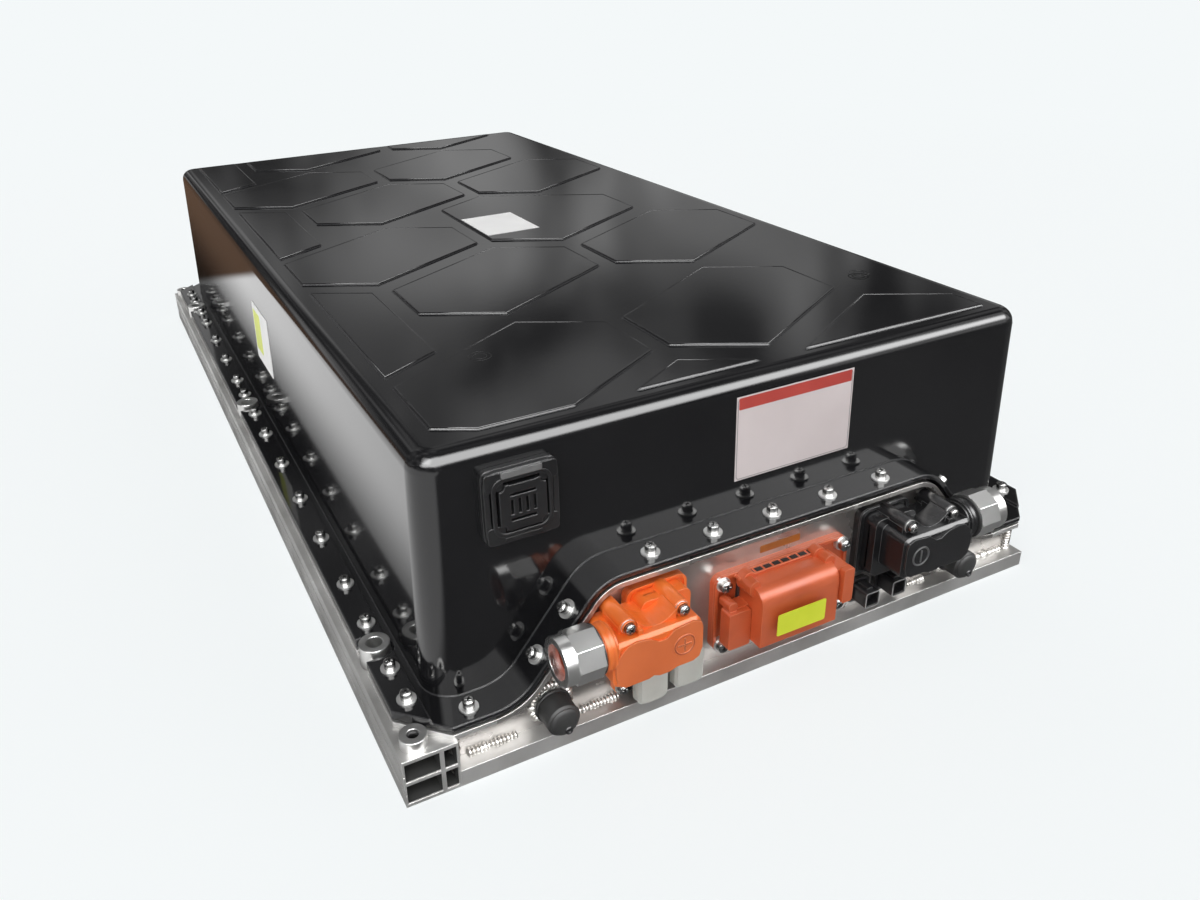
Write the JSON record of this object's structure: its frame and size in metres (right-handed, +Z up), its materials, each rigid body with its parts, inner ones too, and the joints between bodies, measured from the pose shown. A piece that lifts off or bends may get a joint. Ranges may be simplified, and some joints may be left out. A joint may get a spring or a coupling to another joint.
{
  "type": "electric vehicle battery pack",
  "caption": "Liquid-cooled traction battery pack in an aluminium frame with a ribbed black cover, high-voltage connectors, service disconnect and coolant ports.",
  "frame": {"origin": "centre of the flat base, midway between the side rails and between the two ends of the left rail", "axes": "+X to the right seen from the connector end, +Y from the connector end to the rear along the longest side, +Z up"},
  "size_m": [0.63, 1.1665, 0.245],
  "materials": {
    "aluminium": "mill-finish extruded and welded aluminium, lightly brushed",
    "black_cover": "glossy black moulded composite cover",
    "sealing": "black foamed silicone seal",
    "steel": "bright zinc-plated steel",
    "orange_plastic": "orange moulded plastic, fine satin grain",
    "dark_orange_plastic": "darker orange moulded plastic, fine satin grain",
    "black_plastic": "black moulded plastic, fine satin grain",
    "grey_plastic": "light grey moulded caps",
    "nut_metal": "nickel-plated turned gland nut",
    "gland_rubber": "orange-red silicone cable seal",
    "cap_rubber": "black moulded rubber caps",
    "cell_blue": "cell stacks in blue insulating film",
    "copper": "copper busbars and links",
    "thermal_pad": "grey thermal pad",
    "white_sticker": "blank white sticker",
    "sticker_field": "blank sticker with plain colour fields"
  },
  "bodies": {
    "root": {"black_signal_connector_left": "black_plastic", "black_signal_connector_right": "black_plastic", "bottom_plate": "aluminium", "cell_module_1": "cell_blue", "cell_module_2": "cell_blue", "cell_module_3": "cell_blue", "cell_module_4": "cell_blue", "cell_module_5": "cell_blue", "cell_module_6": "cell_blue", "cold_plate": "aluminium", "coolant_caps": "cap_rubber", "coolant_manifold_left": "aluminium", "coolant_manifold_right": "aluminium", "coolant_port_left": "aluminium", "coolant_port_right": "aluminium", "coolant_tube_left": "aluminium", "coolant_tube_right": "aluminium", "corner_bushes": "steel", "cover_screws": "steel", "cross_member_1": "aluminium", "cross_member_2": "aluminium", "front_blank_sticker": "sticker_field", "front_end_plate": "aluminium", "front_sill": "aluminium", "grey_signal_caps": "grey_plastic", "grey_signal_connector_left": "black_plastic", "grey_signal_connector_right": "black_plastic", "left_side_rail": "aluminium", "management_unit": "aluminium", "module_end_plates": "aluminium", "module_links": "copper", "module_straps": "steel", "negative_busbar": "copper", "negative_connector_base": "black_plastic", "negative_connector_housing": "black_plastic", "negative_connector_screws": "steel", "negative_gland_nut": "nut_metal", "negative_gland_seal": "cap_rubber", "positive_busbar": "copper", "positive_connector_base": "orange_plastic", "positive_connector_housing": "orange_plastic", "positive_connector_screws": "steel", "positive_gland_nut": "nut_metal", "positive_gland_seal": "gland_rubber", "rear_end_plate": "aluminium", "right_side_rail": "aluminium", "sealing_gasket": "sealing", "sealing_rim": "aluminium", "service_disconnect_base": "dark_orange_plastic", "service_disconnect_cover": "dark_orange_plastic", "service_disconnect_screws": "steel", "service_disconnect_seal": "sealing", "side_lug_bushes": "steel", "switch_box": "black_plastic", "switch_box_lid": "black_plastic", "thermal_pads": "thermal_pad", "top_blank_sticker": "white_sticker", "top_cover": "black_cover", "vent_valve_body": "black_plastic", "vent_valve_grille": "black_plastic"}
  },
  "joints": []
}
